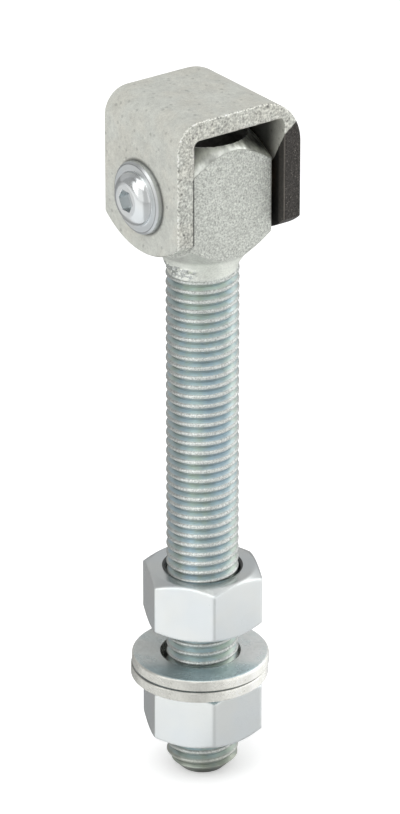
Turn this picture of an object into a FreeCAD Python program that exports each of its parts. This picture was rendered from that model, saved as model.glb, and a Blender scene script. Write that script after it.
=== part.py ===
import FreeCAD, Part
import math
import os

# Adjustable gate hinge: a U-shaped weld-on bracket, an eye bolt that swings in it on a screwed pivot,
# and two nuts and two washers that clamp the bolt's threaded stud in a post or a gate frame.
# Millimetres. The origin is where the pivot's axis meets the weld face. +X leaves the weld face,
# +Z is up, the stud hangs down along -Z, and -Y is the front.

# Bracket, a plate bent into a U that opens downwards
bracket_depth = 30.0
plate = 5.0
side_gap = 1.0
pivot_below_top = 22.5
cheek_below_pivot = 14.3
cheek_end_radius = 22.7
bend_inner_radius = 1.5
left_bend_radius = 6.5
right_bend_radius = 12.0
bracket_arris = 0.6

# Eye bolt, a forged square block with turned ends and a threaded stud
block_width = 24.0
block_corner = 1.0
block_flat_above_pivot = 11.2
block_flat_below_pivot = 16.3
block_top_inset = 1.3
neck_radius = 8.4
thread_radius = 9.0
thread_start = 22.0
thread_pitch = 2.5
thread_depth = 1.45
stud_length = 158.0
stud_tip_chamfer = 3.3
stud_below_nut = 10.8

# Pivot screw with a flanged button head
screw_radius = 4.0
screw_recess = 1.0
screw_tip_chamfer = 1.0
flange_radius = 8.9
flange_thickness = 1.7
flange_rim_round = 0.5
dome_radius = 6.7
dome_top_radius = 3.9
dome_shoulder_rise_share = 0.62
dome_shoulder_run_share = 0.28
head_height = 4.4
socket_flats = 5.0
socket_depth = 2.8

# Pivot sleeve, clamped between the cheeks, and the two flanged bushes that turn on it
sleeve_radius = 6.0
bush_wall = 1.0
bush_flange_radius = 10.0
bush_middle_gap = 2.0

# Hexagon nuts
nut_flats = 27.0
nut_height = 15.0
nut_corner_round = 0.7
nut_face_inset = 0.7
nut_chamfer_angle = 30.0
nut_mouth_width = 1.0
nut_corner_turn = 24.7

# Plain washers, each lying off centre by a share of the play round the stud
washer_radius = 17.0
washer_thickness = 3.0
washer_play = 1.0
washer_round = 0.8
washer_burr_chamfer = 0.25
upper_washer_shift = 0.5
lower_washer_shift = 0.75
washer_shift_angle = 144.0
clamp_gap = 8.6

# Clearances
running_clearance = 0.05
screw_hole_clearance = 0.2
tapped_hole_clearance = 0.03

# Sine of the angle within which two directions count as one
same_direction = 0.001

# Places that follow from the sizes above
bracket_width = block_width + 2.0 * (side_gap + plate)
left_face = -bracket_width
stud_x = left_face / 2.0
front = -bracket_depth / 2.0
back = bracket_depth / 2.0
bracket_top = pivot_below_top
inner_left = left_face + plate
inner_right = -plate
inner_top = bracket_top - plate
screw_length = bracket_width - screw_recess
bush_radius = sleeve_radius + running_clearance + bush_wall
bush_reach = (block_width - bush_middle_gap) / 2.0
block_left = stud_x - block_width / 2.0
block_right = stud_x + block_width / 2.0
lower_nut_bottom = -stud_length + stud_below_nut
lower_washer_bottom = lower_nut_bottom + nut_height
upper_washer_bottom = lower_washer_bottom + washer_thickness
upper_nut_bottom = upper_washer_bottom + washer_thickness + clamp_gap
nut_bore = thread_radius + running_clearance
washer_bore = thread_radius + washer_play

x_axis = FreeCAD.Vector(1, 0, 0)
y_axis = FreeCAD.Vector(0, 1, 0)
z_axis = FreeCAD.Vector(0, 0, 1)


def turned(outline, axis_point, axis):
    """Closed outline, a list of points in a plane through the axis, turned once round it."""
    face = Part.Face(Part.makePolygon(outline + [outline[0]]))
    return face.revolve(axis_point, axis, 360)


def tube(outer, inner, start, length, axis):
    """Straight tube with plain ends."""
    bar = Part.makeCylinder(outer, length, start, axis)
    return bar.cut(Part.makeCylinder(inner, length, start, axis))


def hexagon(flats, centre, first_corner, across, up, extrusion):
    """Hexagonal bar, first_corner in degrees from across towards up."""
    radius = flats / math.sqrt(3.0)
    corners = []
    for index in range(6):
        angle = math.radians(first_corner + 60.0 * index)
        offset = across * (radius * math.cos(angle)) + up * (radius * math.sin(angle))
        corners.append(centre + offset)
    return Part.Face(Part.makePolygon(corners + [corners[0]])).extrude(extrusion)


def quarter_arc(start, end, centre, radius):
    """Arc of a bend or a rounded rim, between a point on one flat and a point on the next."""
    middle = (start + end) * 0.5 - centre
    middle.normalize()
    return Part.Arc(start, centre + middle * radius, end).toShape()


def u_outline(left, right, top, bottom, left_radius, right_radius):
    """Face of an upturned U shape in the front plane, with a square lower end."""
    def point(x, z):
        return FreeCAD.Vector(x, front, z)

    left_low = point(left, bottom)
    left_high = point(left, top - left_radius)
    top_left = point(left + left_radius, top)
    top_right = point(right - right_radius, top)
    right_high = point(right, top - right_radius)
    right_low = point(right, bottom)
    left_centre = point(left + left_radius, top - left_radius)
    right_centre = point(right - right_radius, top - right_radius)
    edges = [
        Part.LineSegment(left_low, left_high).toShape(),
        quarter_arc(left_high, top_left, left_centre, left_radius),
        Part.LineSegment(top_left, top_right).toShape(),
        quarter_arc(top_right, right_high, right_centre, right_radius),
        Part.LineSegment(right_high, right_low).toShape(),
        Part.LineSegment(right_low, left_low).toShape(),
    ]
    return Part.Face(Part.Wire(edges))


def cheek_side_shape():
    """Side view of the cheeks, square above and ending in one arc below the pivot, as a wide bar."""
    arc_centre = cheek_end_radius - cheek_below_pivot
    corner_z = arc_centre - math.sqrt(cheek_end_radius ** 2 - front ** 2)
    front_low = FreeCAD.Vector(left_face, front, corner_z)
    front_high = FreeCAD.Vector(left_face, front, bracket_top)
    back_high = FreeCAD.Vector(left_face, back, bracket_top)
    back_low = FreeCAD.Vector(left_face, back, corner_z)
    lowest = FreeCAD.Vector(left_face, 0, -cheek_below_pivot)
    edges = [
        Part.LineSegment(front_low, front_high).toShape(),
        Part.LineSegment(front_high, back_high).toShape(),
        Part.LineSegment(back_high, back_low).toShape(),
        Part.Arc(back_low, lowest, front_low).toShape(),
    ]
    return Part.Face(Part.Wire(edges)).extrude(x_axis * bracket_width)


def runs_along(edge, axis):
    """True for a straight edge that runs along the axis."""
    if edge.Curve.TypeId != "Part::GeomLine":
        return False
    return edge.Curve.Direction.cross(axis).Length < same_direction


def u_bracket():
    """Bent plate with rounded arrises, a clear hole at the left and a tapped hole at the weld face."""
    low = -cheek_below_pivot
    along = y_axis * bracket_depth
    outer = u_outline(left_face, 0.0, bracket_top, low, left_bend_radius, right_bend_radius)
    inner = u_outline(inner_left, inner_right, inner_top, low, bend_inner_radius, bend_inner_radius)
    body = outer.extrude(along).cut(inner.extrude(along)).common(cheek_side_shape())
    arrises = [edge for edge in body.Edges if not runs_along(edge, y_axis)]
    body = body.makeFillet(bracket_arris, arrises)
    hole = screw_radius + screw_hole_clearance
    clear_hole = Part.makeCylinder(hole, plate, FreeCAD.Vector(left_face, 0, 0), x_axis)
    tapped = screw_radius + tapped_hole_clearance
    tapped_hole = Part.makeCylinder(tapped, plate, FreeCAD.Vector(inner_right, 0, 0), x_axis)
    return body.cut(clear_hole).cut(tapped_hole)


def threaded_stud(neck_top):
    """Neck and stud, with the thread as rings at its true pitch, from the first crest to the tip."""
    def point(radius, z):
        return FreeCAD.Vector(stud_x + radius, 0, z)

    run_in = thread_radius - neck_radius
    thread_end = -stud_length + stud_tip_chamfer
    ridge_count = int((-thread_start - thread_end) / thread_pitch)
    outline = [
        point(0, neck_top),
        point(neck_radius, neck_top),
        point(neck_radius, -thread_start + run_in),
        point(thread_radius, -thread_start),
    ]
    for index in range(ridge_count):
        crest_z = -thread_start - thread_pitch * (index + 1)
        outline.append(point(thread_radius - thread_depth, crest_z + thread_pitch / 2.0))
        outline.append(point(thread_radius, crest_z))
    outline.append(point(thread_radius, thread_end))
    outline.append(point(thread_radius - stud_tip_chamfer, -stud_length))
    outline.append(point(0, -stud_length))
    return turned(outline, point(0, 0), z_axis)


def eye_bolt():
    """Square block with conical turned ends, its pivot bore, neck and threaded stud, in one forging."""
    half = block_width / 2.0
    corner_reach = half * math.sqrt(2.0)
    top = block_flat_above_pivot + block_top_inset
    top_radius = half - block_top_inset
    neck_top = -block_flat_below_pivot - (half - neck_radius)
    low_corner = -block_flat_below_pivot + (corner_reach - half)
    high_corner = top - (corner_reach - top_radius)

    low_point = FreeCAD.Vector(stud_x - half, -half, neck_top)
    block = Part.makeBox(block_width, block_width, top - neck_top, low_point)
    upright = [edge for edge in block.Edges if runs_along(edge, z_axis)]
    block = block.makeFillet(block_corner, upright)
    envelope = turned([
        FreeCAD.Vector(stud_x, 0, top),
        FreeCAD.Vector(stud_x + top_radius, 0, top),
        FreeCAD.Vector(stud_x + corner_reach, 0, high_corner),
        FreeCAD.Vector(stud_x + corner_reach, 0, low_corner),
        FreeCAD.Vector(stud_x + neck_radius, 0, neck_top),
        FreeCAD.Vector(stud_x, 0, neck_top),
    ], FreeCAD.Vector(stud_x, 0, 0), z_axis)
    head = block.common(envelope)

    bore = Part.makeCylinder(bush_radius, block_width, FreeCAD.Vector(block_left, 0, 0), x_axis)
    return head.fuse(threaded_stud(neck_top)).removeSplitter().cut(bore)


def pivot_screw():
    """Button head on a wide flange, with a hexagon socket and a plain shank for the thread."""
    def point(out, radius):
        return FreeCAD.Vector(left_face - out, 0, radius)

    tip_reach = -screw_length
    outline = [
        point(tip_reach, 0.0),
        point(tip_reach, screw_radius - screw_tip_chamfer),
        point(tip_reach + screw_tip_chamfer, screw_radius),
        point(0.0, screw_radius),
        point(0.0, flange_radius),
        point(flange_thickness - flange_rim_round, flange_radius),
        point(flange_thickness, flange_radius - flange_rim_round),
        point(flange_thickness, dome_radius),
    ]
    rise = (head_height - flange_thickness) * dome_shoulder_rise_share
    run = (dome_radius - dome_top_radius) * dome_shoulder_run_share
    shoulder = point(flange_thickness + rise, dome_radius - run)
    top_rim = point(head_height, dome_top_radius)
    lines = [Part.LineSegment(a, b).toShape() for a, b in zip(outline, outline[1:])]
    lines.append(Part.Arc(outline[-1], shoulder, top_rim).toShape())
    lines.append(Part.LineSegment(top_rim, point(head_height, 0.0)).toShape())
    lines.append(Part.LineSegment(point(head_height, 0.0), outline[0]).toShape())
    body = Part.Face(Part.Wire(lines)).revolve(FreeCAD.Vector(0, 0, 0), x_axis, 360)
    socket = hexagon(socket_flats, point(head_height, 0.0), 0.0, y_axis, z_axis, x_axis * socket_depth)
    return body.cut(socket)


def pivot_sleeve():
    """Spacer tube round the screw, as long as the space between the cheeks."""
    inner = screw_radius + screw_hole_clearance
    return tube(sleeve_radius, inner, FreeCAD.Vector(inner_left, 0, 0), inner_right - inner_left, x_axis)


def flanged_bush(face_x, inward):
    """Bush pressed into one side of the block, its flange filling the gap to the cheek."""
    inner = sleeve_radius + running_clearance
    flange_depth = side_gap - running_clearance
    barrel = tube(bush_radius, inner, FreeCAD.Vector(face_x, 0, 0), bush_reach, inward)
    flange = tube(bush_flange_radius, inner, FreeCAD.Vector(face_x, 0, 0), flange_depth, inward * -1.0)
    return barrel.fuse(flange).removeSplitter()


def hexagon_nut(bottom):
    """Nut with both end faces chamfered by a cone and both mouths of the bore countersunk."""
    centre = FreeCAD.Vector(stud_x, 0, bottom)
    bar = hexagon(nut_flats, centre, -90.0 - nut_corner_turn, x_axis, y_axis, z_axis * nut_height)
    upright = [edge for edge in bar.Edges if runs_along(edge, z_axis)]
    bar = bar.makeFillet(nut_corner_round, upright)
    reach = nut_flats / math.sqrt(3.0)
    face_radius = nut_flats / 2.0 - nut_face_inset
    drop = (reach - face_radius) * math.tan(math.radians(nut_chamfer_angle))
    envelope = turned([
        FreeCAD.Vector(stud_x, 0, bottom),
        FreeCAD.Vector(stud_x + face_radius, 0, bottom),
        FreeCAD.Vector(stud_x + reach, 0, bottom + drop),
        FreeCAD.Vector(stud_x + reach, 0, bottom + nut_height - drop),
        FreeCAD.Vector(stud_x + face_radius, 0, bottom + nut_height),
        FreeCAD.Vector(stud_x, 0, bottom + nut_height),
    ], FreeCAD.Vector(stud_x, 0, 0), z_axis)
    mouth_depth = nut_mouth_width * math.tan(math.radians(nut_chamfer_angle))
    hole = turned([
        FreeCAD.Vector(stud_x, 0, bottom),
        FreeCAD.Vector(stud_x + nut_bore + nut_mouth_width, 0, bottom),
        FreeCAD.Vector(stud_x + nut_bore, 0, bottom + mouth_depth),
        FreeCAD.Vector(stud_x + nut_bore, 0, bottom + nut_height - mouth_depth),
        FreeCAD.Vector(stud_x + nut_bore + nut_mouth_width, 0, bottom + nut_height),
        FreeCAD.Vector(stud_x, 0, bottom + nut_height),
    ], FreeCAD.Vector(stud_x, 0, 0), z_axis)
    return bar.common(envelope).cut(hole)


def plain_washer(bottom, shift):
    """Stamped washer with a rounded upper rim and lightly chamfered lower rims."""
    angle = math.radians(washer_shift_angle)
    offset = shift * washer_play
    centre = FreeCAD.Vector(stud_x + offset * math.cos(angle), offset * math.sin(angle), bottom)

    def point(radius, height):
        return centre + FreeCAD.Vector(radius, 0, height)

    rim_centre = point(washer_radius - washer_round, washer_thickness - washer_round)
    rim_top = point(washer_radius - washer_round, washer_thickness)
    rim_side = point(washer_radius, washer_thickness - washer_round)
    outline = [
        rim_top,
        point(washer_bore, washer_thickness),
        point(washer_bore, washer_burr_chamfer),
        point(washer_bore + washer_burr_chamfer, 0),
        point(washer_radius - washer_burr_chamfer, 0),
        point(washer_radius, washer_burr_chamfer),
        rim_side,
    ]
    lines = [Part.LineSegment(a, b).toShape() for a, b in zip(outline, outline[1:])]
    lines.append(quarter_arc(rim_side, rim_top, rim_centre, washer_round))
    return Part.Face(Part.Wire(lines)).revolve(centre, z_axis, 360)


parts = {
    "u_bracket": u_bracket(),
    "eye_bolt": eye_bolt(),
    "pivot_screw": pivot_screw(),
    "pivot_sleeve": pivot_sleeve(),
    "bush_left": flanged_bush(block_left, x_axis),
    "bush_right": flanged_bush(block_right, x_axis * -1.0),
    "upper_nut": hexagon_nut(upper_nut_bottom),
    "washer_upper": plain_washer(upper_washer_bottom, upper_washer_shift),
    "washer_lower": plain_washer(lower_washer_bottom, lower_washer_shift),
    "lower_nut": hexagon_nut(lower_nut_bottom),
}

os.makedirs("parts", exist_ok=True)
for name, shape in parts.items():
    shape.exportStep("parts/" + name + ".step")
    box = shape.BoundBox
    corners = [box.XMin, box.YMin, box.ZMin, box.XMax, box.YMax, box.ZMax]
    print(name, shape.isValid(), len(shape.Solids), round(shape.Volume, 1), [round(c, 2) for c in corners])
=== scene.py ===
"""Adjustable gate hinge: zinc-plated bracket, eye bolt, pivot screw, nuts and washers, and their studio."""

import math

import bmesh
import bpy
from bpy.props import FloatProperty, FloatVectorProperty, IntProperty, PointerProperty
from mathutils import Matrix, Vector, noise


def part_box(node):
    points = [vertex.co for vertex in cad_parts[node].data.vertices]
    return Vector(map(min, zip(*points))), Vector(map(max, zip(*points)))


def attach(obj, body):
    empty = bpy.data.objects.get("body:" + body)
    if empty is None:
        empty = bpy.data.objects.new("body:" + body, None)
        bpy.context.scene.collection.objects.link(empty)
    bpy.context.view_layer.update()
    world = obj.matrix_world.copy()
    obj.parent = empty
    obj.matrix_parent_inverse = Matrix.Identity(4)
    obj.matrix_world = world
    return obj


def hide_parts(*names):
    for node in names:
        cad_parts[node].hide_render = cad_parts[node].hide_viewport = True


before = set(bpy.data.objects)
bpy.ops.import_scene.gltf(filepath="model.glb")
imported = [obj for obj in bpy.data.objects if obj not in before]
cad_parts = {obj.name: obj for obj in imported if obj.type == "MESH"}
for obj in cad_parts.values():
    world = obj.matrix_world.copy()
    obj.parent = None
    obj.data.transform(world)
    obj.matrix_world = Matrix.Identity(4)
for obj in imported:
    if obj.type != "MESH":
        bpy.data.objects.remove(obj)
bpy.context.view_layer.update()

bl_info = {
    "name": "Adjustable Gate Hinge",
    "version": (1, 0, 0),
    "blender": (4, 5, 0),
    "location": "3D Viewport > Sidebar > Gate Hinge",
    "description": "Dresses a weld-on gate hinge: threaded eye bolt, zinc plating and studio",
    "category": "Object",
}

MM = 0.001
SAME_PLACE = 0.01 * MM
ON_PLANE = 0.001 * MM
SHARP_ANGLE = math.radians(35.0)
BORE_SIDES = 64
NECK_CURVE = 1.3

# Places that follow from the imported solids
bolt_low, bolt_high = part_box("eye_bolt")
stud_x = (bolt_low.x + bolt_high.x) / 2
stud_end = bolt_low.z
head_top = bolt_high.z
block_half = (bolt_high.y - bolt_low.y) / 2
stud_axis = (stud_x, 0.0, 0.0)

# Places on the bracket and the mouths of the holes, in millimetres
LEFT_OUTER = -36.0
LEFT_INNER = -31.0
RIGHT_INNER = -5.0
HALF_WIDTH = 15.0
# Heights over which the painted shadow and shade beside the block fade out
BESIDE_BLOCK = (7.5, 9.5)
# Radii within which the nuts' and washers' bores get painted shade
NUT_MOUTH = 10.05
WASHER_HOLE = 10.0


def length(name, description, millimetres):
    """Length property, given in millimetres and kept in metres."""
    size = millimetres * MM
    return FloatProperty(
        name=name, description=description, default=size, precision=5, subtype="DISTANCE", unit="LENGTH"
    )


def share(name, description, value):
    """Number from nought to one."""
    return FloatProperty(
        name=name, description=description, default=value, min=0.0, max=1.0, subtype="FACTOR"
    )


def colour(name, description, *rgb):
    """Colour property, in linear light."""
    return FloatVectorProperty(
        name=name, description=description, default=rgb, min=0.0, max=1.0, size=3, subtype="COLOR"
    )


def turn(name, description, degrees):
    """Angle property, given in degrees."""
    return FloatProperty(name=name, description=description, default=math.radians(degrees), subtype="ANGLE")


class HingeBlock(bpy.types.PropertyGroup):
    """Sizes of the eye bolt's head."""

    top_inset: length("Top inset", "How far the flat top's rim lies inside the block's sides", 1.3)
    corner: length("Corner round", "Radius of the four upright corners", 1.0)
    arris: length("Arris round", "Rounding where the flats meet the turned cones", 0.3)
    neck_radius: length("Neck radius", "Radius of the neck below the block", 8.4)
    low_flat: length("Flats' lowest point", "Height where the lower cone meets the middle of a flat", -16.6)
    kink_radius: length("Kink radius", "Radius at which the lower cone turns steeper", 10.7)
    neck_end: length("Neck end", "Height at which the steep cone has run out into the neck", -22.0)
    bore: length("Bore radius", "Radius of the bore that the bushes are pressed into", 7.05)
    burr: length("Burr", "Height of the torn machining burr round the flat top", 0.22)
    burr_width: length("Burr width", "Width of the rim that the burr takes up", 0.35)
    steps: IntProperty(name="Steps", description="Divisions of a full turn", default=144, min=24)


class HingeThread(bpy.types.PropertyGroup):
    """Sizes of the stud's thread, a metric coarse thread of 18 mm."""

    pitch: length("Pitch", "Advance in one turn", 2.5)
    crest_radius: length("Crest radius", "Outer radius of the rolled thread", 8.9)
    depth: length("Depth", "Depth of the groove below the crest", 1.45)
    crest_width: length("Crest width", "Width of the flat on the crest", 0.44)
    root_width: length("Root width", "Width of the rounded groove bottom", 0.36)
    first_crest: length("First crest", "Height of the first crest where the thread runs in", -21.97)
    run_in_side: turn("Run-in side", "Direction from the stud's axis in which the groove begins", 54.0)
    run_in: share("Run-in", "Share of a turn over which the groove reaches its full depth", 0.2)
    tip_chamfer: length("Tip chamfer", "Width of the bevel at the stud's end", 3.3)
    flash: length("Torn flash", "Height of the torn metal beside the first turn", 0.85)
    flash_side: turn("Flash side", "Direction from the stud's axis in which the torn metal lies", 188.0)
    flash_height: length("Flash place", "Height of the torn metal's middle", -21.0)
    steps: IntProperty(name="Steps", description="Divisions of one turn", default=96, min=24)


class HingeFinish(bpy.types.PropertyGroup):
    """Colours of the metals."""

    bracket: colour("Bracket zinc", "Matte plating on the rolled plate", 0.645, 0.645, 0.585)
    bare_steel: colour("Bare steel", "Unplated black steel of the weld-on cheek", 0.034, 0.031, 0.028)
    block: colour("Block zinc", "Plating on the forged block", 0.635, 0.655, 0.61)
    thread: colour("Thread zinc", "Blue-grey plating on the rolled thread", 0.67, 0.79, 0.80)
    crest: colour("Crest zinc", "Paler plating on the thread's rounded crests", 0.66, 0.69, 0.665)
    tip: colour("Tip zinc", "Duller plating towards the stud's end", 0.42, 0.44, 0.36)
    screw: colour("Screw zinc", "Bright plating on the pivot screw", 0.76, 0.78, 0.775)
    nut: colour("Nut zinc", "Bright plating on the nuts", 0.79, 0.815, 0.805)
    washer: colour("Washer zinc", "Satin plating on the washers", 0.64, 0.665, 0.645)
    sleeve: colour("Sleeve steel", "Drawn steel of the pivot sleeve", 0.45, 0.45, 0.46)
    bronze: colour("Bush bronze", "Sintered bronze of the bushes", 0.42, 0.27, 0.12)
    wear: share("Edge wear", "How much brighter worn edges are", 0.35)


class HingeStage(bpy.types.PropertyGroup):
    """Camera, lamps and floor."""

    azimuth: turn("Azimuth", "Camera's turn round the hinge, seen from the front", -36.0)
    elevation: turn("Elevation", "Camera's height above the horizon", 25.35)
    distance: length("Distance", "From the camera to its target", 1262.0)
    target: FloatVectorProperty(
        name="Target", description="Point that the camera looks at", size=3, subtype="XYZ", unit="LENGTH",
        default=(-18.49 * MM, 0.36 * MM, -59.8 * MM),
    )
    lens: FloatProperty(
        name="Lens", description="Focal length on a 36 mm frame", default=230.3, subtype="DISTANCE_CAMERA"
    )
    floor_size: length("Floor", "Side of the square floor", 8000.0)
    floor: colour("Floor colour", "Pale studio floor", 0.92, 0.92, 0.92)
    ambient: share("Ambient", "Level of the studio's own light", 0.80)
    floor_glow: share("Floor glow", "Lift that keeps the seen floor white", 0.35)
    back: turn("Dim side", "Direction in which the studio is dimmer in the metal", 70.0)
    card: turn("Dark card", "Direction of the dark card that the metal shows", 137.0)
    dark_front: turn("Dark front", "Direction of the dim room behind the camera in the metal", -114.0)
    dim_right: turn("Dim right", "Direction in which the floor is a little dimmer in the metal", -66.0)


def mesh_of(shape, name):
    """Mesh made of a shape, which is freed."""
    mesh = bpy.data.meshes.new(name)
    shape.to_mesh(mesh)
    shape.free()
    return mesh


def placed(name, data):
    """Object of a mesh, a lamp or a camera, put into the scene."""
    item = bpy.data.objects.new(name, data)
    bpy.context.scene.collection.objects.link(item)
    return item


def finished(shape, name, body):
    """Object made of a closed shape, smooth except at its sharp edges."""
    open_edges = [edge for edge in shape.edges if len(edge.link_faces) != 2]
    if open_edges:
        raise RuntimeError(f"{name} has {len(open_edges)} open edges")
    bmesh.ops.recalc_face_normals(shape, faces=shape.faces)
    mesh = mesh_of(shape, name)
    mesh.shade_smooth()
    mesh.set_sharp_from_angle(angle=SHARP_ANGLE)
    piece = placed(name, mesh)
    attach(piece, body)
    return piece


def wound_shape(outline, angle, steps, drop=0.0):
    """Skin of an outline of (radius, height) points, turned round the stud's axis and sunk at each step."""
    shape = bmesh.new()
    points = [shape.verts.new((stud_x + radius, 0.0, height)) for radius, height in outline]
    lines = [shape.edges.new(pair) for pair in zip(points, points[1:])]
    bmesh.ops.spin(
        shape, geom=points + lines, cent=stud_axis, axis=(0, 0, 1), dvec=(0, 0, -drop),
        angle=angle, steps=steps, use_merge=drop == 0.0,
    )
    return shape


def cut_off(shape, point, normal):
    """Cuts off what lies beyond a plane and returns the edges of the cut."""
    everything = shape.verts[:] + shape.edges[:] + shape.faces[:]
    cut = bmesh.ops.bisect_plane(
        shape, geom=everything, dist=ON_PLANE, plane_co=point, plane_no=normal, clear_outer=True
    )
    return [item for item in cut["geom_cut"] if isinstance(item, bmesh.types.BMEdge)]


def flat_cut(shape, point, normal):
    """Cuts off what lies beyond a plane and closes the cut."""
    bmesh.ops.edgeloop_fill(shape, edges=cut_off(shape, point, normal))


def rounded(shape, edges, radius, segments):
    """Rounds some edges."""
    bmesh.ops.bevel(
        shape, geom=edges, offset=radius, segments=segments, profile=0.5, affect="EDGES", material=-1
    )


def kink_height(block):
    """Height at which the lower cone, which rises by its own width, turns steeper."""
    return block.low_flat - (block_half - block.kink_radius)


def block_outline(block):
    """Outline of the head's turned envelope, from the middle of its top to the kink over the neck."""
    past_corners = 1.0 * MM
    level_band = 0.15 * MM
    reach = block_half * math.sqrt(2.0) + past_corners
    top_radius = block_half - block.top_inset
    burr_start = top_radius - block.burr_width
    rim = head_top - (reach - top_radius)
    shoulder = block.low_flat + (reach - block_half)
    return [
        (0.0, head_top),
        (burr_start - level_band, head_top),
        (burr_start, head_top),
        (top_radius, head_top),
        (reach, rim),
        (reach, shoulder),
        (block.kink_radius, kink_height(block)),
    ]


def neck_at(height, block):
    """Radius of the hollow steep cone between the kink and the neck."""
    left = (height - block.neck_end) / (kink_height(block) - block.neck_end)
    left = min(max(left, 0.0), 1.0)
    return block.neck_radius + (block.kink_radius - block.neck_radius) * left ** NECK_CURVE


def is_flat(face):
    """True for the block's four upright sides."""
    return max(abs(face.normal.x), abs(face.normal.y)) > 0.9999


def bored(shape, block):
    """Cuts the pivot bore through the block's left and right sides."""
    rings = []
    for side in (-1, 1):
        walls = [face for face in shape.faces if face.normal.x * side > 0.9999]
        wall = max(walls, key=lambda face: face.calc_area())
        outer = list(wall.edges)
        bmesh.ops.delete(shape, geom=[wall], context="FACES_ONLY")
        middle = Matrix.Translation((stud_x + side * block_half, 0, 0))
        across = middle @ Matrix.Rotation(math.radians(90.0), 4, "Y")
        made = bmesh.ops.create_circle(shape, segments=BORE_SIDES, radius=block.bore, matrix=across)
        ring = list({edge for vert in made["verts"] for edge in vert.link_edges})
        bmesh.ops.triangle_fill(shape, edges=outer + ring, use_beauty=True, normal=(side, 0, 0))
        rings += ring
    bmesh.ops.bridge_loops(shape, edges=rings)


def tear_rim(shape, block):
    """Raises the rim of the flat top unevenly, as the turning tool left it."""
    rim_radius = block_half - block.top_inset
    tear = 0.7 * MM
    share_raised = 0.35
    for vert in shape.verts:
        out = Vector((vert.co.x - stud_x, vert.co.y))
        if vert.co.z > head_top - SAME_PLACE and abs(out.length - rim_radius) < SAME_PLACE:
            ragged = noise.noise(Vector((out.x, out.y, 0.0)) / tear)
            vert.co.z += block.burr * max(0.0, share_raised + ragged)


def head_shape(block):
    """Square block with turned cones above and below, open at the neck's lower end."""
    shape = wound_shape(block_outline(block), math.tau, block.steps)
    bmesh.ops.remove_doubles(shape, verts=shape.verts, dist=SAME_PLACE)
    tear_rim(shape, block)
    for normal in ((1, 0, 0), (-1, 0, 0), (0, 1, 0), (0, -1, 0)):
        flat_cut(shape, Vector(stud_axis) + block_half * Vector(normal), normal)
    shape.normal_update()
    closed = [edge for edge in shape.edges if len(edge.link_faces) == 2]
    upright = [edge for edge in closed if all(is_flat(face) for face in edge.link_faces)]
    rounded(shape, upright, block.corner, 4)
    shape.normal_update()
    closed = [edge for edge in shape.edges if len(edge.link_faces) == 2]
    arrises = [
        edge for edge in closed
        if sum(is_flat(face) for face in edge.link_faces) == 1
        and edge.calc_face_angle(0.0) > math.radians(30.0)
    ]
    rounded(shape, arrises, block.arris, 2)
    bored(shape, block)
    return shape


def thread_profile(thread):
    """One pitch of the thread as (radius, drop) points, from the middle of one crest to that of the next."""
    half_crest = thread.crest_width / 2
    half_root = thread.root_width / 2
    crest = thread.crest_radius
    root = crest - thread.depth
    middle = thread.pitch / 2
    hollow = 0.12 * MM
    half = [
        (crest, 0.0),
        (crest - 0.015 * MM, half_crest * 0.6),
        (crest - 0.06 * MM, half_crest),
        (crest - 0.15 * MM, half_crest + 0.12 * MM),
        (crest - 0.29 * MM, half_crest + 0.22 * MM),
        (root + hollow, middle - half_root),
        (root + 0.2 * hollow, middle - half_root / 2),
    ]
    mirrored = [(radius, thread.pitch - drop) for radius, drop in reversed(half)]
    return half + [(root, middle)] + mirrored


def smooth(value, low, high):
    """Eased step from nought at low to one at high."""
    t = min(max((value - low) / (high - low), 0.0), 1.0)
    return t * t * (3.0 - 2.0 * t)


def stud_radius(radius, angle, height, block, thread):
    """Radius of the stud's surface after its run-in, its torn first turn and its bevelled end."""
    growth = (-0.36, -0.06)
    wound = ((thread.run_in_side - angle) % math.tau) / math.tau
    below_first = (thread.first_crest - height) / thread.pitch - wound
    neck = neck_at(height, block)
    radius = neck + (radius - neck) * smooth(below_first, *growth)
    if below_first < 1.0:
        closed = neck + (thread.crest_radius - neck) * smooth(below_first - 1.0, *growth)
        radius = closed + (radius - closed) * smooth(wound, 0.0, thread.run_in)
    limit = max(neck, thread.crest_radius) - max(0.0, stud_end + thread.tip_chamfer - height)
    radius = min(radius, limit)
    torn_side = smooth(math.cos(angle - thread.flash_side), 0.72, 0.97)
    torn_height = 1.0 - smooth(abs(height - thread.flash_height), 0.6 * MM, 1.9 * MM)
    torn = torn_side * torn_height
    if torn > 0.0:
        teeth = 24.0
        place = Vector((math.cos(angle), math.sin(angle), height / block.neck_radius)) * teeth
        ragged = 0.3 + 1.3 * noise.noise(place)
        radius += thread.flash * torn * ragged
    return radius


def stud_shape(block, thread, seam):
    """Thread wound down the stud, from above the seam with the neck to below the stud's end."""
    crest_at_start = thread.first_crest - thread.pitch * (thread.run_in_side % math.tau) / math.tau
    turns_above = math.ceil((seam - crest_at_start) / thread.pitch) + 1
    highest = crest_at_start + thread.pitch * turns_above
    outline = [(radius, highest - drop) for radius, drop in thread_profile(thread)]
    one_turn = wound_shape(outline, -math.tau, thread.steps, thread.pitch / thread.steps)
    mesh = mesh_of(one_turn, "one_turn")
    shape = bmesh.new()
    for _ in range(math.ceil((highest - stud_end) / thread.pitch) + 1):
        shape.from_mesh(mesh)
        mesh.transform(Matrix.Translation((0, 0, -thread.pitch)))
    bpy.data.meshes.remove(mesh)
    bmesh.ops.remove_doubles(shape, verts=shape.verts, dist=SAME_PLACE)
    for vert in shape.verts:
        out = Vector((vert.co.x - stud_x, vert.co.y))
        angle = math.atan2(out.y, out.x)
        radius = stud_radius(out.length, angle, vert.co.z, block, thread)
        vert.co.x = stud_x + radius * math.cos(angle)
        vert.co.y = radius * math.sin(angle)
    return shape


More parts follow.
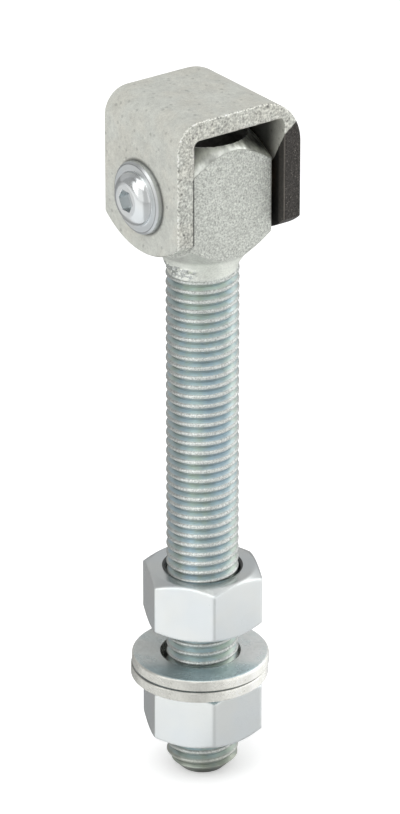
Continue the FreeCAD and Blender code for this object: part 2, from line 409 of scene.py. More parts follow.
def eye_bolt_shape(block, thread):
    """Head and threaded stud in one closed skin."""
    bridged = 0.1 * MM
    head = head_shape(block)
    seam = min(vert.co.z for vert in head.verts)
    stud = stud_shape(block, thread, seam)
    flat_cut(stud, (stud_x, 0, stud_end), (0, 0, -1))
    cut_off(stud, (stud_x, 0, seam - bridged), (0, 0, 1))
    copy = mesh_of(stud, "stud_copy")
    head.from_mesh(copy)
    bpy.data.meshes.remove(copy)
    bmesh.ops.bridge_loops(head, edges=[edge for edge in head.edges if len(edge.link_faces) == 1])
    return head


def is_socket(value):
    """True for a node's socket."""
    return isinstance(value, bpy.types.NodeSocket)


def add_node(kind, inputs, tree=None, **options):
    """Outputs of a new shader node. Its inputs are values or other nodes' sockets, and give its tree."""
    tree = tree or next(value.id_data for value in inputs.values() if is_socket(value))
    made = tree.nodes.new("ShaderNode" + kind)
    for key, value in options.items():
        setattr(made, key, value)
    for key, value in inputs.items():
        if is_socket(value):
            tree.links.new(value, made.inputs[key])
        else:
            made.inputs[key].default_value = value
    return made.outputs


def use_group(name, place, **values):
    """Outputs of a shared group, placed in a material."""
    return add_node("Group", {"Vector": place, **values}, node_tree=bpy.data.node_groups[name])


def join(value, target):
    """Links a socket to an input."""
    target.id_data.links.new(value, target)


def calc(operation, first, second=0.0, third=0.0, clamp=False):
    """Result of a sum on numbers and sockets."""
    return add_node("Math", {0: first, 1: second, 2: third}, operation=operation, use_clamp=clamp)[0]


def times(first, second):
    """Product of two values."""
    return calc("MULTIPLY", first, second)


def less(first, second, clamp=False):
    """Difference of two values."""
    return calc("SUBTRACT", first, second, clamp=clamp)


def greatest(first, second):
    """The greater of two values."""
    return calc("MAXIMUM", first, second)


def size_of(value):
    """Value without its sign."""
    return calc("ABSOLUTE", value)


def layered(base, *layers):
    """Base to which values are added, each times its amount."""
    for value, amount in layers:
        base = calc("MULTIPLY_ADD", value, amount, base)
    return base


def dulled(shade, mask, amount):
    """Shade that a mask lowers by an amount."""
    return times(shade, layered(1.0, (mask, -amount)))


def below(value, limit):
    """One where a value is below a limit."""
    return calc("LESS_THAN", value, limit)


def above(value, limit):
    """One where a value is above a limit."""
    return calc("GREATER_THAN", value, limit)


def hypotenuse(first, second):
    """Length of a flat vector from its two parts."""
    return calc("SQRT", calc("ADD", calc("POWER", first, 2.0), calc("POWER", second, 2.0)))


def eased(value, low, high, start=0.0, end=1.0):
    """Eased step of a socket from start at low to end at high."""
    inputs = {"Value": value, "From Min": low, "From Max": high, "To Min": start, "To Max": end}
    return add_node("MapRange", inputs, interpolation_type="SMOOTHSTEP")[0]


def fading(value, low, high):
    """Eased step of a socket from one at low to nought at high."""
    return eased(value, low, high, 1.0, 0.0)


def mixed(factor, first, second):
    """Blend of two colours, given as sockets or values."""
    return add_node("Mix", {0: factor, 6: first, 7: second}, data_type="RGBA")[2]


def opaque(rgb, red=1.0, green=1.0, blue=1.0):
    """Colour with an alpha, each part times its level."""
    return (rgb[0] * red, rgb[1] * green, rgb[2] * blue, 1.0)


def scaled(vector, factor):
    """Vector times a number or a socket."""
    return add_node("VectorMath", {0: vector, "Scale": factor}, operation="SCALE")[0]


def vector_calc(operation, first, second=(0.0, 0.0, 0.0), result=0):
    """Result of a sum on vectors."""
    return add_node("VectorMath", {0: first, 1: second}, operation=operation)[result]


def dot(first, second):
    """Dot product of two vectors."""
    return vector_calc("DOT_PRODUCT", first, second, "Value")


def reach_of(vector, kept_parts):
    """Length of a vector's kept parts."""
    return vector_calc("LENGTH", vector_calc("MULTIPLY", vector, kept_parts), result="Value")


def parts(vector):
    """The three parts of a vector."""
    return add_node("SeparateXYZ", {0: vector})


def noise_on(place, scale=1.0, detail=2.0, roughness=0.5):
    """Noise at a place, from nought to one."""
    inputs = {"Vector": place, "Scale": scale, "Detail": detail, "Roughness": roughness}
    return add_node("TexNoise", inputs)[0]


def new_group(name, inputs, outputs):
    """Sockets of a new shader group, which takes a vector and numbers and gives numbers."""
    tree = bpy.data.node_groups.new(name, "ShaderNodeTree")
    tree.interface.new_socket("Vector", in_out="INPUT", socket_type="NodeSocketVector")
    for label, value in inputs.items():
        socket = tree.interface.new_socket(label, in_out="INPUT", socket_type="NodeSocketFloat")
        socket.default_value = value
    for label in outputs:
        tree.interface.new_socket(label, in_out="OUTPUT", socket_type="NodeSocketFloat")
    return tree.nodes.new("NodeGroupInput").outputs, tree.nodes.new("NodeGroupOutput").inputs


def in_units(given, unit):
    """A group's place, counted in one of its lengths."""
    return scaled(given["Vector"], calc("DIVIDE", 1.0, given[unit]))


def make_clouds():
    """Broad uneven patches of the plating: a shade round one and a mask for the tint."""
    given, result = new_group("zinc_clouds", {"Patch": 6.0 * MM, "Depth": 0.1}, ["Shade", "Tint"])
    place = in_units(given, "Patch")
    swing = less(noise_on(place, detail=5.0, roughness=0.6), 0.5)
    join(layered(1.0, (swing, times(given["Depth"], 2.0))), result["Shade"])
    elsewhere = vector_calc("ADD", place, (17.0, 5.0, 9.0))
    join(eased(noise_on(elsewhere, 0.55, 3.0), 0.36, 0.64), result["Tint"])


def make_grit():
    """Fine grains of a matte or cut surface: a shade from minus one to one, a height and rare pits."""
    given, result = new_group("zinc_grit", {"Grain": 0.4 * MM}, ["Shade", "Height", "Pits"])
    place = in_units(given, "Grain")
    grains = noise_on(place, detail=3.0, roughness=0.65)
    join(layered(-2.0, (grains, 4.0)), result["Shade"])
    join(grains, result["Height"])
    cells = add_node("TexVoronoi", {"Vector": place, "Scale": 0.35, "Randomness": 1.0})
    join(fading(cells["Distance"], 0.10, 0.22), result["Pits"])


def make_scratches():
    """Short fine handling scratches in three directions, as a mask."""
    given, result = new_group("handling_scratches", {"Length": 3.0 * MM, "Amount": 0.5}, ["Mask"])
    place = in_units(given, "Length")
    total = 0.0
    for degrees, axis in ((20.0, (1.0, 0.2, 0.1)), (75.0, (0.3, 1.0, 0.2)), (130.0, (0.5, 0.4, 1.0))):
        inputs = {"Vector": place, "Axis": axis, "Angle": math.radians(degrees)}
        turned = add_node("VectorRotate", inputs, rotation_type="AXIS_ANGLE")[0]
        drawn = add_node("Mapping", {"Vector": turned, "Scale": (1.0, 22.0, 22.0)})[0]
        total = greatest(total, eased(noise_on(drawn, detail=1.0), 0.70, 0.76))
    join(times(total, given["Amount"]), result["Mask"])


def make_edge_wear():
    """Mask of the corners where the plating is rubbed bright."""
    given, result = new_group("edge_wear", {"Radius": 0.5 * MM}, ["Mask"])
    rounding = add_node("Bevel", {"Radius": given["Radius"]}, samples=6)[0]
    flat = add_node("NewGeometry", {}, rounding.id_data)["Normal"]
    broken = noise_on(given["Vector"], 1.0 / (1.2 * MM), 3.0)
    mask = times(fading(dot(rounding, flat), 0.90, 0.995), eased(broken, 0.36, 0.62))
    join(mask, result["Mask"])


def make_rings():
    """Rings that a tool left round the upright axis of a turned face, as a value round a half."""
    given, result = new_group("turned_rings", {"Spacing": 0.3 * MM}, ["Height"])
    x, y, z = parts(given["Vector"])
    count = calc("DIVIDE", calc("ADD", hypotenuse(x, y), z), given["Spacing"])
    rings = add_node("TexNoise", {"W": count, "Scale": 1.0, "Detail": 2.0}, noise_dimensions="1D")
    join(rings[0], result["Height"])


def make_groups():
    """Makes every shared shader group once."""
    make_clouds()
    make_grit()
    make_scratches()
    make_edge_wear()
    make_rings()


def new_material(name, metallic, roughness):
    """Metal with its shader's inputs and the object's own coordinates."""
    material = bpy.data.materials.new(name)
    material.use_nodes = True
    tree = material.node_tree
    tree.nodes.clear()
    surface = add_node("BsdfPrincipled", {"Metallic": metallic, "Roughness": roughness}, tree)[0]
    target = tree.nodes.new("ShaderNodeOutputMaterial")
    join(surface, target.inputs[0])
    return material, surface.node.inputs, add_node("TexCoord", {}, tree)


def rough_surface(shader, heights, edge_round=0.0):
    """Stacks bumps, each a (height socket, depth in metres, strength) triple, on softly rounded edges."""
    base = {}
    if edge_round:
        rounding = add_node("Bevel", {"Radius": edge_round}, shader["Normal"].id_data, samples=6)
        base = {"Normal": rounding[0]}
    for height, depth, strength in heights:
        bump = add_node("Bump", {"Strength": strength, "Distance": depth, "Height": height, **base})
        base = {"Normal": bump[0]}
    join(base["Normal"], shader["Normal"])


def dress(name, material):
    """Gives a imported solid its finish."""
    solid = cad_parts[name]
    solid.data.materials.clear()
    solid.data.materials.append(material)
    solid.data.shade_smooth()


def bare_cheek_mask(place_mm, spot, facing):
    """Mask of the unplated weld-on cheek: its outer face, its edges below the bend and a strip inside."""
    x, y, z = spot
    # The zinc ends at a slanting, wavy line across the bend, which drops inside the cheek
    slanting = layered(17.1, (x, 0.76))
    from_edge = less(HALF_WIDTH, size_of(y))
    dropped = times(times(from_edge, 1.7), below(facing[0], -0.5))
    waves = noise_on(place_mm, 0.45)
    line = layered(less(less(slanting, dropped), 0.6), (waves, 1.2))
    return times(eased(less(line, z), -0.15, 0.25), above(x, RIGHT_INNER - 1.5))


def inside_shade_mask(spot, facing):
    """Mask of the bracket's inner faces, the underside of its top and the two inner cheeks, where painted
    shade goes.
    """
    x, y, z = spot
    between = times(above(x, LEFT_INNER - 1.0), below(x, RIGHT_INNER + 1.0))
    below_top = below(z, 17.6)
    above_block = above(z, 8.0)
    sideways = times(eased(size_of(facing[0]), 0.4, 0.6), below_top)
    under = times(fading(facing[2], -0.6, -0.4), above_block)
    return times(greatest(sideways, under), between)


def rim_highlight_masks(facing):
    """Masks of the cut edges' rounded arrises, on the plate's outer side and inside the right cheek, for
    painted highlights.
    """
    edgeward = eased(size_of(facing[1]), 0.25, 0.5)
    leftward = times(facing[0], -1.0)
    outer = times(eased(greatest(leftward, facing[2]), 0.2, 0.5), edgeward)
    inner = times(eased(leftward, 0.45, 0.6), edgeward)
    return outer, inner


def gap_shadow_mask(spot):
    """Mask of the left cheek's inner arris, where a painted shadow lies beside the narrow gap to the block.
    """
    x, y, z = spot
    arris = times(eased(x, LEFT_INNER - 0.85, LEFT_INNER - 0.45), eased(size_of(y), 13.0, 14.2))
    return times(arris, times(below(x, LEFT_INNER + 0.1), fading(z, *BESIDE_BLOCK)))


def cut_edge_mask(facing, z):
    """Mask of the bracket's cut edges: its front and back edges and the cheeks' lower ends."""
    end_edge = times(eased(times(facing[2], -1.0), 0.3, 0.6), below(z, 0.0))
    return greatest(eased(size_of(facing[1]), 0.35, 0.7), end_edge)


def painted_depth(shade, spot, facing, inward):
    """Shade with a painted shadow round the screw's flange and beside the block, and painted shade on the
    bracket's inner faces, deepest beside the block and over it.
    """
    x, y, z = spot
    shade = dulled(shade, gap_shadow_mask(spot), 0.88)
    # Painted shadow: a dark ring on the cheek round the screw's flange
    flange_shadow = times(fading(hypotenuse(y, z), 9.0, 9.8), below(x, LEFT_OUTER + 0.5))
    shade = dulled(shade, flange_shadow, 0.65)
    # Painted shade on the inner faces, growing inwards and reaching further beside the block
    by_block = times(below(x, LEFT_INNER + 1.0), fading(z, *BESIDE_BLOCK))
    depth = eased(layered(inward, (by_block, 6.5)), 0.8, 7.5)
    return dulled(shade, times(inside_shade_mask(spot, facing), depth), 0.85)


def bracket_material(finish):
    """Matte zinc on rolled plate with coarse cut edges, and bare black steel on the weld-on cheek, with
    painted highlights on arrises and painted shadow and shade in the gaps and inside.
    """
    material, shader, places = new_material("bracket_zinc", 0.4, 0.5)
    place = places["Object"]
    place_mm = scaled(place, 1.0 / MM)
    spot = parts(place_mm)
    facing = parts(places["Normal"])
    clouds = use_group("zinc_clouds", place, Patch=3.5 * MM, Depth=0.17)
    fine, coarse, dents, mottle = [
        use_group("zinc_grit", place, Grain=grain * MM) for grain in (0.28, 0.62, 0.9, 1.1)
    ]
    scratches = use_group("handling_scratches", place, Length=3.0 * MM, Amount=1.0)["Mask"]
    wear = use_group("edge_wear", place, Radius=0.5 * MM)["Mask"]
    cut = cut_edge_mask(facing, spot[2])
    bare = bare_cheek_mask(place_mm, spot, facing)
    rim, inner_rim_highlight = rim_highlight_masks(facing)
    inward = less(HALF_WIDTH, size_of(spot[1]))

    # Zinc, smooth on the plate's faces and coarse on its cut edges, with painted highlights on the arrises
    # and painted shadow and shade round the flange, beside the block and inside
    grains = [(fine["Shade"], 0.14), (mottle["Shade"], 0.10), (dents["Pits"], -0.22), (scratches, -0.30)]
    flat_shade = layered(clouds["Shade"], *grains)
    grains = [(coarse["Shade"], 0.55), (mottle["Shade"], 0.25), (coarse["Pits"], -0.40)]
    cut_shade = layered(less(clouds["Shade"], 0.06), *grains)
    shade = calc("ADD", times(flat_shade, less(1.0, cut)), times(cut_shade, cut))
    # Painted highlight: a ragged bright band along the arrises of the cut edges
    ragged_rim_highlight = times(rim, eased(coarse["Height"], 0.38, 0.56))
    shade = layered(shade, (ragged_rim_highlight, 0.5), (wear, finish.wear))
    shade = greatest(painted_depth(shade, spot, facing, inward), 0.1)
    cool = opaque(finish.bracket, 0.98, 1.0, 1.02)
    zinc = scaled(mixed(clouds["Tint"], opaque(finish.bracket), cool), shade)

    # Bare steel, speckled on its cut edge, worn at its arrises, with a painted highlight on the inner arris,
    # painted sheen near the edge and painted shade further inside the cheek
    specks = times(eased(fine["Height"], 0.57, 0.68), cut)
    steel_shade = layered(1.0, (coarse["Shade"], 0.5), (specks, 3.6), (wear, 5.0), (inner_rim_highlight, 2.6))
    # Painted sheen near the cheek's edge, painted shade further inside
    cheek_shade = eased(inward, 1.9, 2.5, 1.3, 0.12)
    steel = scaled(tuple(finish.bare_steel), times(steel_shade, cheek_shade))
    join(mixed(bare, zinc, steel), shader["Base Color"])
    join(layered(0.50, (clouds["Tint"], 0.08), (cut, -0.14), (bare, 0.02)), shader["Roughness"])
    join(layered(0.40, (cut, 0.40), (bare, -0.2)), shader["Metallic"])
    rough_surface(shader, [
        (fine["Height"], 0.06 * MM, 0.6),
        (times(coarse["Height"], cut), 0.40 * MM, 0.8),
        (dents["Pits"], -0.05 * MM, 0.5),
        (scratches, -0.03 * MM, 0.6),
    ])
    return material


def painted_sheen_streaks(x, y, out):
    """Painted streaks of sheen that run down a turned cone, as a value from nought to one."""
    lane = {0: calc("DIVIDE", x, out), 1: calc("DIVIDE", y, out), 2: times(out, 0.07)}
    return noise_on(add_node("CombineXYZ", lane)[0], 4.0, 3.0, 0.6)


def bolt_zones(block, thread, z, facing, out):
    """Masks of the thread, its raised first turn, the cone with the top, the top, the neck and the flats."""
    # Heights and radii are in millimetres
    first_crest = thread.first_crest / MM
    neck_end = block.neck_end / MM
    left = calc("DIVIDE", less(z, neck_end), kink_height(block) / MM - neck_end, clamp=True)
    spread = (block.kink_radius - block.neck_radius) / MM
    bare_neck = layered(block.neck_radius / MM, (calc("POWER", left, NECK_CURVE), spread))
    raised = times(eased(less(out, bare_neck), 0.06, 0.2), below(z, first_crest + 3.2))
    threaded = greatest(fading(z, first_crest - 2.2, first_crest - 1.4), raised)
    upper = above(z, 0.0)
    turned = times(eased(facing[2], 0.35, 0.6), upper)
    top = times(eased(facing[2], 0.93, 0.98), upper)
    neck = times(fading(facing[2], -0.3, -0.12), below(z, -5.0))
    neck = less(greatest(neck, fading(z, -18.6, -17.0)), threaded, clamp=True)
    special = calc("ADD", threaded, calc("ADD", turned, neck), clamp=True)
    return threaded, raised, turned, top, neck, less(1.0, special, clamp=True)


def bolt_material(finish, block, thread):
    """Zinc on the forging: speckled flats, turned cones with painted sheen, a flat top with painted shade, a
    blotchy neck with painted light and a blue-grey rolled thread with painted shade on its grooves and
    sides.
    """
    material, shader, places = new_material("bolt_zinc", 0.85, 0.35)
    place = places["Object"]
    centred = vector_calc("SUBTRACT", place, stud_axis)
    place_mm = scaled(centred, 1.0 / MM)
    x, y, z = parts(place_mm)
    facing = parts(places["Normal"])
    clouds = use_group("zinc_clouds", place, Patch=3.0 * MM, Depth=0.17)
    drawn = add_node("Mapping", {"Vector": place, "Scale": (1.0, 1.0, 0.12)})[0]
    stains = use_group("zinc_clouds", drawn, Patch=3.0 * MM, Depth=0.22)
    grit = use_group("zinc_grit", place, Grain=0.44 * MM)
    rings = use_group("turned_rings", centred, Spacing=0.28 * MM)["Height"]
    wear = use_group("edge_wear", place, Radius=0.4 * MM)["Mask"]
    out = greatest(hypotenuse(x, y), 0.1)
    threaded, raised, turned, top, neck, flat = bolt_zones(block, thread, z, facing, out)
    cone = less(turned, top, clamp=True)

    # Shade: grit on the flats, painted sheen streaks and tool rings on the cone, painted shade on the flat
    # top, painted light on the neck, stains on the thread and painted shade on its lower faces, groove
    # bottoms and sides
    speckled = times(grit["Shade"], layered(flat, (neck, 0.4)))
    shade = layered(clouds["Shade"], (speckled, 0.52), (times(grit["Pits"], flat), -0.25))
    # Painted sheen: streaks down the cone, with the tool rings' tone
    sheen_lanes = layered(-2.9, (painted_sheen_streaks(x, y, out), 6.0))
    sheen_and_tool_rings = layered(sheen_lanes, (less(rings, 0.5), 0.9))
    # The cone takes the sheen streaks; painted shade darkens the flat top
    shade = dulled(layered(shade, (sheen_and_tool_rings, times(cone, 0.55))), top, 0.5)
    # Painted light on the lower neck
    neck_light = times(neck, fading(out, 10.8, 12.2))
    stained = times(less(stains["Shade"], 1.0), threaded)
    shade = layered(shade, (neck_light, 0.36), (wear, finish.wear), (stained, 1.0))
    # Painted shade on the thread's downward faces and at the bottoms of its grooves
    flank_shade = dulled(times(fading(facing[2], -0.55, -0.2), threaded), raised, 0.7)
    groove = times(fading(out, 7.52, 7.7), threaded)
    shade = dulled(dulled(shade, flank_shade, 0.30), groove, 0.42)
    # Painted shade on the thread's sides, strong on one and slight on the other
    aside = dot(place_mm, (0.81, -0.59, 0.0))
    sides = times(eased(aside, -8.4, -1.5, 0.68, 1.0), eased(aside, 3.0, 7.0, 1.0, 0.90))
    shade = times(shade, layered(1.0, (less(sides, 1.0), threaded)))

    # Colour: the thread's grooves are blue to green, its crests pale and its end dull
    blue = opaque(finish.thread, 0.94, 0.98, 1.05)
    green = opaque(finish.thread, 1.02, 1.0, 0.88)
    ragged = layered(less(out, 0.5), (stains["Shade"], 0.5), (grit["Shade"], 0.10))
    crest_line = eased(ragged, 8.34, 8.54)
    crest = scaled(tuple(finish.crest), layered(1.0, (grit["Shade"], 0.45)))
    thread_colour = mixed(crest_line, mixed(stains["Tint"], blue, green), crest)
    tip = fading(z, stud_end / MM + 2.0, stud_end / MM + 9.0)
    thread_colour = mixed(times(tip, 0.8), thread_colour, opaque(finish.tip))
    base = mixed(threaded, opaque(finish.block), thread_colour)
    join(scaled(base, greatest(shade, 0.06)), shader["Base Color"])

    crests = times(threaded, crest_line)
    gloss = [(threaded, -0.18), (crests, 0.06), (turned, -0.18), (top, -0.20), (clouds["Tint"], 0.06)]
    join(layered(0.46, *gloss), shader["Roughness"])
    join(layered(0.98, (flat, -0.3), (threaded, -0.32)), shader["Metallic"])
    rough_surface(shader, [
        (times(grit["Height"], flat), 0.26 * MM, 0.9),
        (times(rings, cone), 0.10 * MM, 0.7),
        (times(stains["Tint"], neck), 0.12 * MM, 0.5),
        (times(grit["Height"], threaded), 0.03 * MM, 0.4),
    ])
    return material


def painted_bore_shade(place, centre, radius):
    """Painted shade that darkens what lies within a radius of an upright axis, such as the mouth of a bore.
    """
    out = reach_of(vector_calc("SUBTRACT", place, centre), (1.0, 1.0, 0.0))
    return eased(out, radius - 0.15 * MM, radius, 0.12, 1.0)


def bright_material(name, rgb, roughness, finish, patch, edge_round, mouth=0.0):
    """Bright zinc, smooth and slightly uneven, rubbed at its edges, with few fine scratches."""
    material, shader, places = new_material(name, 1.0, roughness)
    place = places["Object"]
    clouds = use_group("zinc_clouds", place, Patch=patch, Depth=0.06)
    fine = use_group("zinc_grit", place, Grain=0.25 * MM)
    scratches = use_group("handling_scratches", place, Length=2.5 * MM, Amount=0.5)["Mask"]
    wear = use_group("edge_wear", place, Radius=0.3 * MM)["Mask"]
    shade = layered(clouds["Shade"], (fine["Shade"], 0.02), (scratches, -0.14), (wear, finish.wear * 0.5))
    # Painted shade in the bore's mouth
    if mouth:
        shade = times(shade, painted_bore_shade(place, stud_axis, mouth))
    cool = opaque(rgb, 0.97, 0.99, 1.02)
    join(scaled(mixed(clouds["Tint"], opaque(rgb), cool), shade), shader["Base Color"])
    join(layered(roughness, (clouds["Tint"], 0.06), (scratches, 0.15)), shader["Roughness"])
    rough_surface(shader, [
        (clouds["Shade"], 0.25 * MM, 0.35),
        (fine["Height"], 0.02 * MM, 0.35),
        (scratches, -0.02 * MM, 0.5),
    ], edge_round)
    return material, shader, places


def screw_material(finish):
    """Bright zinc on the dome, duller on the flange round it, with a painted shade ring near the flange's
    rim.
    """
    patch, edge_round = 5.0 * MM, 0.2 * MM
    material, shader, places = bright_material("screw_zinc", finish.screw, 0.12, finish, patch, edge_round)
    radius = reach_of(scaled(places["Object"], 1.0 / MM), (0.0, 1.0, 1.0))
    flange = eased(radius, 6.75, 6.95)
    # Painted shade: a dark ring near the flange's rim
    groove = less(eased(radius, 8.15, 8.25), eased(radius, 8.4, 8.5))
    bright = shader["Base Color"].links[0].from_socket
    dull = scaled(bright, layered(0.84, (groove, -0.38)))
    join(mixed(flange, bright, dull), shader["Base Color"])
    uneven = shader["Roughness"].links[0].from_socket
    join(layered(uneven, (flange, 0.2)), shader["Roughness"])
    return material


def washer_material(name, shaded_joint_side, finish):
    """Satin zinc on a stamped washer, with grey smudges and a smoother rim, painted light towards one side,
    a painted reflection at the front of its top and painted shade in its hole and at its joint on one side.
    """
    low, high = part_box(name)
    centre = tuple((low + high) / 2)
    material, shader, places = new_material(name + "_zinc", 0.7, 0.3)
    place = vector_calc("SUBTRACT", places["Object"], centre)
    clouds = use_group("zinc_clouds", place, Patch=3.2 * MM, Depth=0.26)
    fine = use_group("zinc_grit", place, Grain=0.4 * MM)
    scratches = use_group("handling_scratches", place, Length=3.0 * MM, Amount=0.6)["Mask"]
    wear = use_group("edge_wear", place, Radius=0.5 * MM)["Mask"]
    shade = layered(clouds["Shade"], (fine["Shade"], 0.14), (fine["Pits"], -0.12))
    # Painted light: the top grows lighter towards one side
    across = dot(place, (0.8, -0.6, 0.0))
    shade = times(shade, eased(across, -8.0 * MM, 14.0 * MM, 0.97, 1.6))
    # Painted shade in the hole
    shade = times(shade, painted_bore_shade(place, (0.0, 0.0, 0.0), WASHER_HOLE * MM))
    shade = layered(shade, (scratches, -0.15), (wear, finish.wear))
    # Painted shade at the joint with the other washer
    seam = eased(dot(place, (0.0, 0.0, shaded_joint_side)), 1.08 * MM, 1.3 * MM)
    rim = fading(size_of(parts(places["Normal"])[2]), 0.75, 0.9)
    shade = dulled(shade, times(seam, rim), 0.8)
    cool = opaque(finish.washer, 0.95, 1.0, 1.02)
    warm = opaque(finish.washer, 1.02, 0.98, 0.94)
    # Painted reflection: the front of the top turns a darker blue-grey
    blue = opaque(finish.washer, 0.64, 0.75, 0.80)
    front = eased(dot(place, (-0.59, -0.81, 0.0)), 5.0 * MM, 11.0 * MM)
    top_zinc = mixed(front, mixed(clouds["Tint"], opaque(finish.washer), cool), blue)
    join(scaled(mixed(rim, top_zinc, warm), shade), shader["Base Color"])
    join(layered(0.17, (clouds["Tint"], 0.12)), shader["Roughness"])
    rough_surface(shader, [
        (clouds["Shade"], 0.4 * MM, 0.3),
        (fine["Height"], 0.05 * MM, 0.5),
        (scratches, -0.02 * MM, 0.5),
    ], 0.4 * MM)
    return material


def plain_metal(name, rgb, metallic, roughness, grain):
    """Unplated metal of a hidden piece, drawn steel or sintered bronze."""
    material, shader, places = new_material(name, metallic, roughness)
    clouds = use_group("zinc_clouds", places["Object"], Patch=3.0 * MM, Depth=0.12)
    grit = use_group("zinc_grit", places["Object"], Grain=grain)
    shade = layered(clouds["Shade"], (grit["Shade"], 0.10))
    join(scaled(tuple(rgb), shade), shader["Base Color"])
    join(layered(roughness, (clouds["Tint"], 0.1)), shader["Roughness"])
    rough_surface(shader, [(grit["Height"], 0.06 * MM, 0.6)])
    return material


class HINGE_OT_bracket(bpy.types.Operator):
    """Give the weld-on bracket its matte zinc and its bare black cheek"""

    bl_idname = "hinge.bracket"
    bl_label = "Bracket"

    def execute(self, context):
        dress("u_bracket", bracket_material(context.scene.hinge_finish))
        return {"FINISHED"}


class HINGE_OT_eye_bolt(bpy.types.Operator):
    """Make the eye bolt with its block, neck and real thread"""

    bl_idname = "hinge.eye_bolt"
    bl_label = "Eye bolt"

    def execute(self, context):
        scene = context.scene
        shape = eye_bolt_shape(scene.hinge_block, scene.hinge_thread)
        piece = finished(shape, "threaded_eye_bolt", "bolt")
        piece.data.materials.append(bolt_material(scene.hinge_finish, scene.hinge_block, scene.hinge_thread))
        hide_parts("eye_bolt")
        return {"FINISHED"}


class HINGE_OT_pivot(bpy.types.Operator):
    """Finish the pivot screw, the sleeve that it clamps and the two bushes"""

    bl_idname = "hinge.pivot"
    bl_label = "Pivot"

    def execute(self, context):
        finish = context.scene.hinge_finish
        dress("pivot_screw", screw_material(finish))
        dress("pivot_sleeve", plain_metal("sleeve_steel", finish.sleeve, 1.0, 0.35, 0.3 * MM))
        bronze = plain_metal("bush_bronze", finish.bronze, 0.9, 0.45, 0.25 * MM)
        dress("bush_left", bronze)
        dress("bush_right", bronze)
        return {"FINISHED"}


class HINGE_OT_nuts(bpy.types.Operator):
    """Give the two nuts their bright zinc"""

    bl_idname = "hinge.nuts"
    bl_label = "Nuts"

    def execute(self, context):
        finish = context.scene.hinge_finish
        patch, edge_round, mouth = 7.0 * MM, 1.2 * MM, NUT_MOUTH * MM
        zinc = bright_material("nut_zinc", finish.nut, 0.17, finish, patch, edge_round, mouth)[0]
        dress("upper_nut", zinc)
        dress("lower_nut", zinc)
        return {"FINISHED"}


class HINGE_OT_washers(bpy.types.Operator):
    """Give the two washers their satin zinc"""

    bl_idname = "hinge.washers"
    bl_label = "Washers"

    def execute(self, context):
        finish = context.scene.hinge_finish
        dress("washer_upper", washer_material("washer_upper", -1.0, finish))
        dress("washer_lower", washer_material("washer_lower", 1.0, finish))
        return {"FINISHED"}


def towards(vector, azimuth):
    """Cosine of the level angle between a vector and a direction, counted from +X towards +Y."""
    level = vector_calc("NORMALIZE", vector_calc("MULTIPLY", vector, (1.0, 1.0, 0.0)))
    return dot(level, (math.cos(azimuth), math.sin(azimuth), 0.0))


def ray_kinds(tree):
    """One for rays that come from a mirror or from glass, and one for rays that come from the camera."""
    path = add_node("LightPath", {}, tree)
    return greatest(path["Is Glossy Ray"], path["Is Transmission Ray"]), path["Is Camera Ray"]


def make_floor(stage):
    """Large pale floor at the height of the stud's end, which keeps the hinge's shadow."""
    shape = bmesh.new()
    bmesh.ops.create_grid(shape, x_segments=1, y_segments=1, size=stage.floor_size / 2)
    mesh = mesh_of(shape, "floor")
    mesh.transform(Matrix.Translation((stud_x, 0, stud_end)))
    floor = placed("floor", mesh)
    material, shader, places = new_material("floor_paint", 0.0, 0.9)
    mirrored, seen = ray_kinds(material.node_tree)
    grain = noise_on(places["Object"], 3.0)
    pale = mixed(grain, opaque(stage.floor), opaque(stage.floor, 0.99, 0.99, 0.99))
    from_stud = vector_calc("SUBTRACT", places["Object"], stud_axis)
    behind = times(eased(towards(from_stud, stage.back), 0.35, 0.8), mirrored)
    front = eased(towards(from_stud, stage.dark_front), 0.78, 0.96, 1.0, 0.6)
    side = eased(towards(from_stud, stage.dim_right), 0.80, 0.95)
    reach = reach_of(from_stud, (1.0, 1.0, 1.0))
    right = layered(1.0, (side, eased(reach, 0.168, 0.205, -0.28, -0.07)))
    kept = calc("MINIMUM", front, right)
    seen_floor = mixed(behind, pale, opaque(stage.floor, 0.40, 0.40, 0.40))
    dimmed = times(less(1.0, kept), mirrored)
    join(mixed(dimmed, seen_floor, (0.0, 0.0, 0.0, 1.0)), shader["Base Color"])
    shader["Specular IOR Level"].default_value = 0.0
    shader["Emission Color"].default_value = (1.0, 1.0, 1.0, 1.0)
    lifted = times(less(mirrored, behind, clamp=True), kept)
    lift = calc("MULTIPLY_ADD", lifted, 0.3, seen, clamp=True)
    join(times(lift, stage.floor_glow), shader["Emission Strength"])
    mesh.materials.append(material)


def make_world(stage):
    """Even studio light, white where it is seen, with a dimmer side and a dark card in the metal."""
    world = bpy.data.worlds.new("studio")
    bpy.context.scene.world = world
    world.use_nodes = True
    tree = world.node_tree
    tree.nodes.clear()
    direction = add_node("TexCoord", {}, tree)["Generated"]
    mirrored, seen = ray_kinds(tree)
    overhead = eased(parts(direction)[2], 0.45, 0.95, 1.0, 0.8)
    dim = eased(towards(direction, stage.back), 0.35, 0.85, 1.0, 0.5)
    card = eased(towards(direction, stage.card), 0.91, 0.94, 1.0, 0.4)
    room = eased(towards(direction, stage.dark_front), 0.90, 0.97, 1.0, 0.62)
    shown = times(overhead, calc("MINIMUM", calc("MINIMUM", dim, room), card))
    level = calc("ADD", times(shown, mirrored), times(less(1.0, mirrored), stage.ambient))
    light = add_node("Background", {"Color": (1.0, 1.0, 1.0, 1.0), "Strength": greatest(level, seen)})
    join(light[0], tree.nodes.new("ShaderNodeOutputWorld").inputs[0])


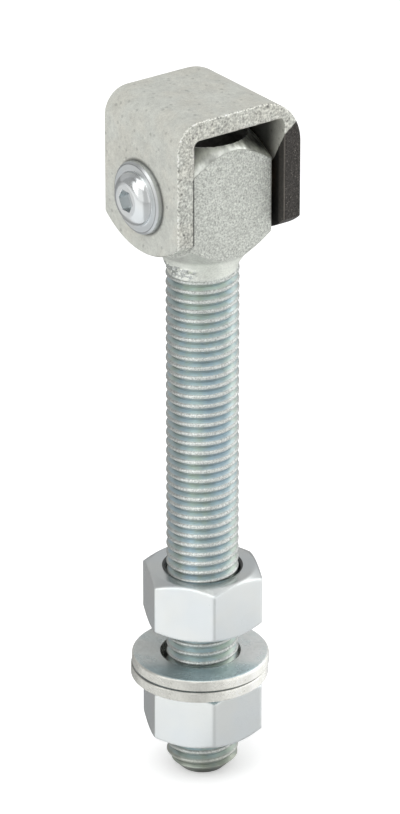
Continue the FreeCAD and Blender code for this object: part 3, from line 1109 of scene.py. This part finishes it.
def aimed(item, azimuth, elevation, distance, target):
    """Puts a lamp or a camera at a distance from a target, at angles seen from the front, and aims it."""
    flat = math.cos(elevation)
    away = Vector((math.sin(azimuth) * flat, -math.cos(azimuth) * flat, math.sin(elevation)))
    place = Vector(target) + distance * away
    turned = (Vector(target) - place).to_track_quat("-Z", "Y").to_matrix().to_4x4()
    item.matrix_world = Matrix.Translation(place) @ turned


def softbox(name, azimuth, elevation, distance, width, height, radiance, target):
    """Rectangular soft lamp with a given brightness of its face."""
    lamp = bpy.data.lights.new(name, "AREA")
    lamp.shape = "RECTANGLE"
    lamp.size = width
    lamp.size_y = height
    lamp.energy = radiance * math.pi * width * height
    aimed(placed(name, lamp), math.radians(azimuth), math.radians(elevation), distance, target)


class HINGE_OT_stage(bpy.types.Operator):
    """Set up the pale floor, the soft lamps and the camera"""

    bl_idname = "hinge.stage"
    bl_label = "Studio"

    def execute(self, context):
        scene = context.scene
        stage = scene.hinge_stage
        make_floor(stage)
        make_world(stage)
        softbox("softbox_above", -60.0, 70.0, 0.9, 0.7, 0.7, 1.0, stage.target)
        softbox("softbox_right", 74.0, 25.0, 0.9, 0.72, 0.9, 0.55, stage.target)
        softbox("softbox_left", -100.0, 30.0, 1.0, 0.5, 0.8, 0.85, stage.target)
        lens = bpy.data.cameras.new("camera")
        lens.sensor_width = 36.0
        lens.lens = stage.lens
        lens.clip_start = 0.05
        lens.clip_end = 30.0
        camera = placed("camera", lens)
        aimed(camera, stage.azimuth, stage.elevation, stage.distance, stage.target)
        scene.camera = camera
        scene.view_settings.view_transform = "Standard"
        return {"FINISHED"}


class HINGE_PT_panel(bpy.types.Panel):
    """Sidebar panel with the hinge's pieces and sizes"""

    bl_idname = "HINGE_PT_panel"
    bl_label = "Gate Hinge"
    bl_space_type = "VIEW_3D"
    bl_region_type = "UI"
    bl_category = "Gate Hinge"

    def draw(self, context):
        for operator in operators:
            self.layout.operator(operator.bl_idname)
        for name, group in settings.items():
            box = self.layout.box()
            for prop in group.__annotations__:
                box.prop(getattr(context.scene, name), prop)


settings = {
    "hinge_block": HingeBlock,
    "hinge_thread": HingeThread,
    "hinge_finish": HingeFinish,
    "hinge_stage": HingeStage,
}
operators = [
    HINGE_OT_bracket,
    HINGE_OT_eye_bolt,
    HINGE_OT_pivot,
    HINGE_OT_nuts,
    HINGE_OT_washers,
    HINGE_OT_stage,
]


def register():
    """Registers the sizes and colours, the operators and the panel."""
    for name, group in settings.items():
        bpy.utils.register_class(group)
        setattr(bpy.types.Scene, name, PointerProperty(type=group))
    for operator in operators:
        bpy.utils.register_class(operator)
    bpy.utils.register_class(HINGE_PT_panel)


def unregister():
    """Takes the panel, the operators, the sizes and colours away again."""
    bpy.utils.unregister_class(HINGE_PT_panel)
    for operator in reversed(operators):
        bpy.utils.unregister_class(operator)
    for name, group in settings.items():
        delattr(bpy.types.Scene, name)
        bpy.utils.unregister_class(group)


def main():
    """Builds the hinge and its studio."""
    register()
    make_groups()
    bpy.ops.hinge.bracket()
    bpy.ops.hinge.eye_bolt()
    bpy.ops.hinge.pivot()
    bpy.ops.hinge.nuts()
    bpy.ops.hinge.washers()
    bpy.ops.hinge.stage()


if __name__ == "__main__":
    main()
